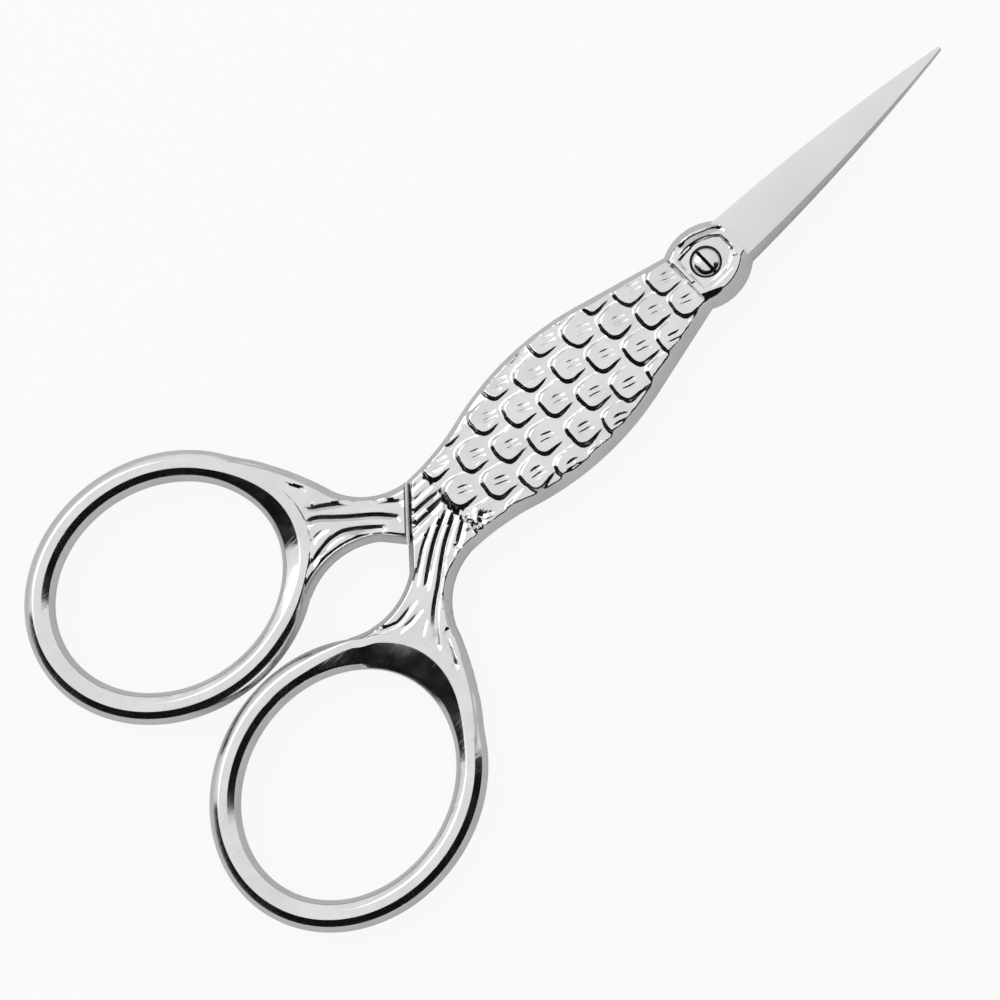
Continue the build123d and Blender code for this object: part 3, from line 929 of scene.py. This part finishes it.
def makeSkin(name, material, groups, pitch, heights, rounding):
    curves = {kind: grooveCurves(kind + "Lines", lines) for kind, lines in groups.items()}
    paths = [path for kind in curves for path in groovePaths(curves[kind], grooveSettings[kind]["Width"])]
    skin, border = planMesh(name, planSettings[pitch], paths)
    place = positions(skin)
    place[:, 2] = heights(place[:, 0], place[:, 1])
    movePoints(skin, place)
    if heights is upperHeights:
        raiseScales(skin, material)
    for kind, lines in curves.items():
        runTree(skin, grooveTree(), {"Lines": lines, "Material": material, **grooveSettings[kind]})
        discard(lines)
    wallTrim(skin, reliefSizes[rounding])
    return skin, border


def closedBody(name, skin, border, under, underBorder):
    upperPoints, lowerPoints = positions(skin), positions(under) * (1, 1, -1)
    shift = len(upperPoints)
    faces = [tuple(face.vertices) for face in skin.data.polygons]
    faces += [tuple(shift + i for i in reversed(face.vertices)) for face in under.data.polygons]
    count = len(border)
    faces += [
        (border[i], shift + underBorder[i], shift + underBorder[(i + 1) % count], border[(i + 1) % count])
        for i in range(count)
    ]
    discard(skin, under)
    body = meshObject(name, np.vstack([upperPoints, lowerPoints]), faces)
    cleanMesh(body)
    return body


def forgingBody(name, material, onTop):
    sizes, fit = forgingSizes, fitSizes
    body = closedBody(
        name,
        *makeSkin(name, material, {**upperGrooves, **panelGrooves}, "pitch", upperHeights, "edgeRound"),
        *makeSkin(name + "Under", material, lowerGrooves, "underPitch", underHeights, "edgeRoundUnder"))
    ring = ringMesh()
    cleanMesh(ring)
    cutOrJoin(body, ring, "UNION")
    # room for the other half, behind the slanting tail and under the meeting plane
    slope = sizes["tailEndLength"] / sizes["tailHalfWidth"]
    startX, reach, deep = tailPoint[0] - fit["tailGap"], fit["cutReach"], fit["cutHeight"]
    front, (length, span) = sizes["shoulderX"], fit["cutAhead"]
    room = [
        (startX - slope * reach, reach), (startX, 0), (startX + slope * reach, -reach),
        (front + length, -reach), (front + length, reach),
    ]
    ahead = [(front, -span), (front + span, -span), (front + span, span), (front, span)]
    gap = fit["runningGap" if onTop else "threadGap"]
    cuts = [
        prism("room", room, -deep, fit["meetingGap"]), prism("ahead", ahead, -deep, deep),
        disc("bore", fit["screwRadius"] + gap, -deep, deep)]
    if onTop:
        cuts.append(disc("seat", fit["headRadius"] + fit["headGap"], fit["headSeat"], deep))
    for cut in cuts:
        cutOrJoin(body, cut, "DIFFERENCE")
    return body


def place(obj, turnedOver):
    turn = Matrix.Rotation(math.pi, 4, "X") if turnedOver else Matrix()
    obj.data.transform(Matrix.Translation(pivot) @ Matrix.Scale(millimetre, 4) @ turn)
    obj.data.update()


# Blade: flat faces, a spine bevel, a leaning cutting side, thinning to the tip

bladeSizes = {
    "startX": 3.15, "tipX": 33.45, "rootHalfWidth": 2.9, "middle": (17.115, 2.088),
    "tipHalfWidth": 0.16, "rootThickness": 1.45, "tipThickness": 0.5, "spineShare": 0.95,
    "edgeShare": 0.83, "corner": 0.07, "spineCorner": 0.04, "cuttingCorner": 0.015,
    "stations": 150,
}


def bladeMesh(name):
    size = bladeSizes
    outline = arcThrough(
        (size["startX"], size["rootHalfWidth"]), size["middle"], (size["tipX"], size["tipHalfWidth"]),
        (size["tipX"] - size["startX"]) / size["stations"])
    outline.append((size["tipX"], size["tipHalfWidth"]))
    low, loops = fitSizes["meetingGap"], []
    for x, half in outline:
        along = (x - size["startX"]) / (size["tipX"] - size["startX"])
        high = between(size["rootThickness"], size["tipThickness"], along)
        rise = (high - low) / (size["rootThickness"] - low)
        spine, edge = (half * between(1, size[share], rise) for share in ("spineShare", "edgeShare"))
        corners = [(half, low), (spine, high), (-edge, high), (-half, low)]
        radii = [size["spineCorner"], size["corner"], size["corner"], size["cuttingCorner"]]
        loop = roundedLoop(corners, radii, 3)
        loops.append([(x, across, rise) for across, rise in loop])
    blade = loftLoops(name, loops, False)
    cleanMesh(blade, 1e-5)
    return blade


# Screw: low domed head with a slot

screwSizes = {
    "headBottom": 1.57, "headTop": 2.52, "dome": 0.7, "domeSteps": 13, "end": -2.12,
    "chamfer": 0.12, "slotWidth": 0.38, "slotDepth": 0.6,
    "slotShoulder": 0.6,  # of its depth; below, its sides lean together
    "slotCutTop": 5, "edgeRound": 0.09, "underRound": 0.05, "domeInset": 0.02,
    "softening": 0.035, "sides": 96,
}


def screwMesh():
    size, shank = screwSizes, fitSizes["screwRadius"]
    radius, top, dome, steps = fitSizes["headRadius"], size["headTop"], size["dome"], size["domeSteps"]
    ball = (radius ** 2 + dome ** 2) / (2 * dome)
    profile = [(shank - size["chamfer"], size["end"]), (shank, size["end"] + size["chamfer"])]
    profile += [(shank, size["headBottom"]), (radius - size["underRound"], size["headBottom"])]
    profile += [(radius, size["headBottom"] + size["underRound"]), (radius, top - dome - size["edgeRound"])]
    for step in range(1, steps):
        r = (radius - size["domeInset"]) * (1 - step / steps)
        profile.append((r, top - ball + math.sqrt(ball ** 2 - r ** 2)))
    loops = [[(x, y, z) for x, y in circle(r, size["sides"])] for r, z in profile]
    screw = loftLoops("slottedScrew", loops, False)
    cleanMesh(screw)
    half, reach, above = size["slotWidth"] / 2, radius + 1, size["slotCutTop"]
    shoulder = top - size["slotShoulder"] * size["slotDepth"]
    section = [
        (-half, above), (-half, shoulder), (0, top - size["slotDepth"]), (half, shoulder), (half, above)]
    slot = prism("slot", section, -reach, reach)
    slot.data.transform(Matrix.Rotation(math.pi / 2, 4, "X"))
    cutOrJoin(screw, slot, "DIFFERENCE")
    softened = screw.modifiers.new("softened", "BEVEL")
    softened.width, softened.segments, softened.angle_limit = size["softening"], 3, math.radians(40)
    applyModifiers(screw)
    return screw


# Finishes

marksSettings = {
    "haze": (0.36, 0.68), "grainShare": 0.35, "scratch": (0.62, 0.7),
    "scratchTurns": ((0.5, 14), (-0.9, 11), (1.9, 17)),  # each run's angle and stretch
}


def marksGroup():
    numbers = ("Haze Scale", "Grain Scale", "Scratches", "Smooth", "Rough")
    group, given = newGroup(
        "handlingMarks", "ShaderNodeTree",
        [*((label, "Float") for label in numbers), ("Clean", "Color"), ("Dull", "Color")],
        [("Color", "Color"), ("Roughness", "Float"), ("Height", "Float")])
    spot = addNode(group, "ShaderNodeTexCoord").outputs["Object"]
    patch = remapped(group, noise(group, spot, given["Haze Scale"], 4.0, 0.6)[0], *marksSettings["haze"])
    grain = noise(group, spot, given["Grain Scale"], 3.0)[0]
    lines = 0.0
    for angle, stretch in marksSettings["scratchTurns"]:
        line = output(group, "ShaderNodeMapping", {
            "Vector": spot, "Rotation": (0, 0, angle), "Scale": (1, stretch, 1)})
        line = remapped(group, noise(group, line, given["Haze Scale"])[0], *marksSettings["scratch"])
        lines = calc(group, "MAXIMUM", lines, line)
    lines = calc(group, "MULTIPLY", lines, given["Scratches"])
    blend = calc(group, "ADD", patch, lines)
    color = addNode(
        group, "ShaderNodeMix", {0: blend, 6: given["Clean"], 7: given["Dull"]}, data_type="RGBA").outputs[2]
    roughness = remapped(group, blend, toLow=given["Smooth"], toHigh=given["Rough"])
    height = calc(group, "SUBTRACT", calc(group, "MULTIPLY", grain, marksSettings["grainShare"]), lines)
    addNode(group, "NodeGroupOutput", {0: color, 1: roughness, 2: height})
    return group


marks = marksGroup()
finishSettings = {
    "castPolish": {
        "Haze Scale": 260.0, "Grain Scale": 2400.0, "Scratches": 0.25, "Smooth": 0.1, "Rough": 0.2,
        "Clean": (0.74, 0.74, 0.73, 1), "Dull": (0.66, 0.66, 0.655, 1), "bump": 0.000012,
    },
    "groundFace": {
        "Haze Scale": 90.0, "Grain Scale": 1800.0, "Scratches": 0.15, "Smooth": 0.24, "Rough": 0.34,
        "Clean": (0.72, 0.72, 0.715, 1), "Dull": (0.66, 0.66, 0.655, 1), "bump": 0.000006,
        "strokes": (9000, 260, 260), "strokeShare": 1.4,
    },
    "screwPolish": {
        "Haze Scale": 500.0, "Grain Scale": 3000.0, "Scratches": 0.3, "Smooth": 0.08, "Rough": 0.18,
        "Clean": (0.7, 0.7, 0.7, 1), "Dull": (0.56, 0.56, 0.56, 1), "bump": 0.000008,
    },
    # painted shade: a near-black steel standing in for the shade in the screw's slot and in the seat round
    # its head
    "paintedShadeSteel": {
        "Haze Scale": 900.0, "Grain Scale": 3000.0, "Scratches": 0.1, "Smooth": 0.3, "Rough": 0.5,
        "Clean": (0.07, 0.07, 0.072, 1), "Dull": (0.03, 0.03, 0.03, 1), "bump": 0.00001,
    },
}


def metal(name):
    settings = finishSettings[name]
    material, tree, shader = newMaterial(name, {"Metallic": 1.0})
    wear = addNode(tree, "ShaderNodeGroup", node_tree=marks)
    for label, value in settings.items():
        if label in wear.inputs:
            wear.inputs[label].default_value = value
    tree.links.new(wear.outputs["Color"], shader.inputs["Base Color"])
    tree.links.new(wear.outputs["Roughness"], shader.inputs["Roughness"])
    height = wear.outputs["Height"]
    if "strokes" in settings:
        # strokes of the grinding wheel run across the blade
        spot = addNode(tree, "ShaderNodeTexCoord").outputs["Object"]
        spot = output(tree, "ShaderNodeMapping", {"Vector": spot, "Scale": settings["strokes"]})
        strokes = calc(tree, "MULTIPLY", noise(tree, spot, 1.0)[0], settings["strokeShare"])
        height = calc(tree, "ADD", height, strokes)
    bump = output(tree, "ShaderNodeBump", {
        "Height": height, "Distance": settings["bump"], "Strength": 1.0})
    tree.links.new(bump, shader.inputs["Normal"])
    return material


castPolish, groundFace, screwPolish, paintedShadeSteel = map(metal, finishSettings)
paintedShadeSettings = {  # painted shade: where the near-black steel goes, in the screw's slot and round the head's seat
    "seatMargin": 0.02,
    "seatHeights": (-0.01, 0.3),  # from the seat
    "slotMargin": 0.01, "slotFrom": 1.7, "slotBelowTop": 0.14, "slotReach": 1.55,
}


# painted shade: faces inside the given box take the near-black steel, standing in for the shade in a recess
def darken(obj, reach, low, high, halfWidth):
    obj.data.materials.append(paintedShadeSteel)
    for face in obj.data.polygons:
        x, y, z = face.center
        if abs(x) < halfWidth and low < z < high and math.hypot(x, y) < reach:
            face.material_index = 1


# The two halves and the screw

sharpAngles = {"forging": 48, "blade": 30, "screw": 35}  # degrees


def half(side, node, turnedOver):
    body = forgingBody(side + "Forging", castPolish, not turnedOver)
    coat(body, castPolish)
    wide = fitSizes["headRadius"] + fitSizes["headGap"] + paintedShadeSettings["seatMargin"]
    seat, (below, above) = fitSizes["headSeat"], paintedShadeSettings["seatHeights"]
    # painted shade in the seat round the screw's head
    darken(body, 0 if turnedOver else wide, seat + below, seat + above, wide)
    blade = bladeMesh(side + "Blade")
    coat(blade, groundFace)
    for piece, angle, finish in (
            (body, sharpAngles["forging"], "polished_steel"), (blade, sharpAngles["blade"], "ground_steel")):
        place(piece, turnedOver)
        shadeSmooth(piece, angle)
        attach(piece, side)
        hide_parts(node)
        print(piece.name, len(piece.data.polygons), "faces")


half("front", "front_half", False)
half("back", "back_half", True)
screw = screwMesh()
coat(screw, screwPolish)
slotTop = screwSizes["headTop"] - paintedShadeSettings["slotBelowTop"]
slotHalf = screwSizes["slotWidth"] / 2 + paintedShadeSettings["slotMargin"]
# painted shade in the screw's slot
darken(screw, paintedShadeSettings["slotReach"], paintedShadeSettings["slotFrom"], slotTop, slotHalf)
place(screw, False)
shadeSmooth(screw, sharpAngles["screw"])
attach(screw, "back")
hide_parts("pivot_screw")
print("halves and screw made")


# Floor, world, key lamp and dark card

lightSettings = {
    "worldSeen": 1.0, "worldDiffuse": 0.55, "floorSize": 3.0,
    "floorColor": (0.86, 0.86, 0.86, 1),
    "floorLift": 0.9,  # share of plain white in what the camera sees of the floor
    "floorLiftMirrored": 0.1, "keyPower": 3.3, "keySize": 0.85, "keyPlace": (-0.25, 0.95, 0.75),
    "cardRadius": 0.6, "cardHeights": (-0.01, 0.64),
    "cardMiddle": 231.0,  # degrees, seen from above
    "cardSpread": 94.0,
    "cardEndShare": 0.5,  # of its height, at its end on the -X +Y side
    "cardRise": 4,  # steps over which it gains its full height
    "cardSteps": 24,
}


def seenShare(tree, cameraShare, mirrorShare):
    rays = addNode(tree, "ShaderNodeLightPath").outputs
    mirrored = calc(tree, "MAXIMUM", rays["Is Glossy Ray"], rays["Is Transmission Ray"])
    return calc(
        tree, "ADD", calc(tree, "MULTIPLY", rays["Is Camera Ray"], cameraShare),
        calc(tree, "MULTIPLY", mirrored, mirrorShare))


def makeFloor(settings):
    half = settings["floorSize"] / 2
    corners = [(-half, -half, 0), (half, -half, 0), (half, half, 0), (-half, half, 0)]
    floor = meshObject("floor", corners, [(0, 1, 2, 3)])
    material, tree, shader = newMaterial("paleFloor", {
        "Base Color": settings["floorColor"], "Roughness": 0.9})
    share = seenShare(tree, settings["floorLift"], settings["floorLiftMirrored"])
    white = output(tree, "ShaderNodeEmission", {"Strength": 1.0})
    mixed = output(tree, "ShaderNodeMixShader", {0: share, 1: shader.outputs[0], 2: white})
    tree.links.new(mixed, tree.nodes["Material Output"].inputs["Surface"])
    coat(floor, material)


def makeWorld(settings):
    world = bpy.data.worlds.new("studio")
    scene.world = world
    world.use_nodes = True
    tree = world.node_tree
    plain, white = (
        output(tree, "ShaderNodeBackground", {"Color": (1, 1, 1, 1), "Strength": settings[key]})
        for key in ("worldDiffuse", "worldSeen"))
    mixed = output(tree, "ShaderNodeMixShader", {0: seenShare(tree, 1.0, 1.0), 1: plain, 2: white})
    tree.links.new(mixed, tree.nodes["World Output"].inputs["Surface"])


def makeKey(settings):
    data = bpy.data.lights.new("key", "AREA")
    data.energy, data.size = settings["keyPower"], settings["keySize"]
    key = linkObject("key", data)
    key.location = settings["keyPlace"]
    key.rotation_euler = (-key.location).to_track_quat("-Z", "Y").to_euler()


def makeCard(settings):
    # a low dark card that the polished slopes mirror, as the studio's dark side
    low, high = settings["cardHeights"]
    steps, points = settings["cardSteps"], []
    for step in range(steps + 1):
        angle = math.radians(settings["cardMiddle"] + settings["cardSpread"] * (2 * step / steps - 1))
        spot = settings["cardRadius"] * math.cos(angle), settings["cardRadius"] * math.sin(angle)
        grown = smoothStep(0, settings["cardRise"], step)
        points += [(*spot, low), (*spot, high * between(settings["cardEndShare"], 1, grown))]
    faces = [(2 * step, 2 * step + 2, 2 * step + 3, 2 * step + 1) for step in range(steps)]
    card = meshObject("darkCard", points, faces)
    coat(card, newMaterial("darkCloth", {
        "Base Color": (0.012, 0.012, 0.012, 1), "Roughness": 0.95, "Specular IOR Level": 0.0})[0])
    card.visible_camera = card.visible_shadow = card.visible_diffuse = False


for make in (makeFloor, makeWorld, makeKey, makeCard):
    make(lightSettings)
scene.view_settings.view_transform = "Standard"
print("stage lit")
